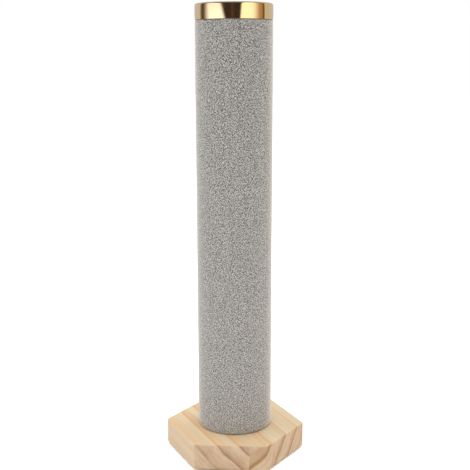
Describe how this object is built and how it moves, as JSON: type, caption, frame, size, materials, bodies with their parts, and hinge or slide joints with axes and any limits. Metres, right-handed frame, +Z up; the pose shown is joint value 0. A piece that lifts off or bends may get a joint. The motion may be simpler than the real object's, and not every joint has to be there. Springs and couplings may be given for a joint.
{
  "type": "bracelet column stand",
  "caption": "Upright cloth-covered column with a polished metal cap on a hexagonal pine base, for holding a stack of bracelets or bangles.",
  "frame": {"origin": "on the surface that the stand rests on, under the middle of the column", "axes": "+Z up the column; +X towards a corner of the hexagonal base; the cloth's seam is at +Y, and the face that the picture shows in front is at -Y"},
  "size_m": [0.0946, 0.0826, 0.2993],
  "materials": {
    "pine": "sanded, thin clear matt seal",
    "paperboard": "raw kraft",
    "fibreboard": "sawn and raw",
    "pile_cloth": "short matt pile",
    "polished_brass": "mirror polished",
    "zinc_alloy": "as cast",
    "zinc_plated_steel": "bright zinc plate",
    "foam": "matt closed-cell foam"
  },
  "bodies": {
    "root": {"base_stave_narrow": "pine", "base_stave_wide": "pine", "core_tube": "paperboard", "top_plug": "fibreboard", "foot_plug": "fibreboard", "pile_cloth": "pile_cloth", "top_cap": "polished_brass", "threaded_insert": "zinc_alloy", "assembly_bolt": "zinc_plated_steel", "rest_pad_1": "foam", "rest_pad_2": "foam", "rest_pad_3": "foam", "rest_pad_4": "foam", "rest_pad_5": "foam", "rest_pad_6": "foam"}
  },
  "joints": []
}
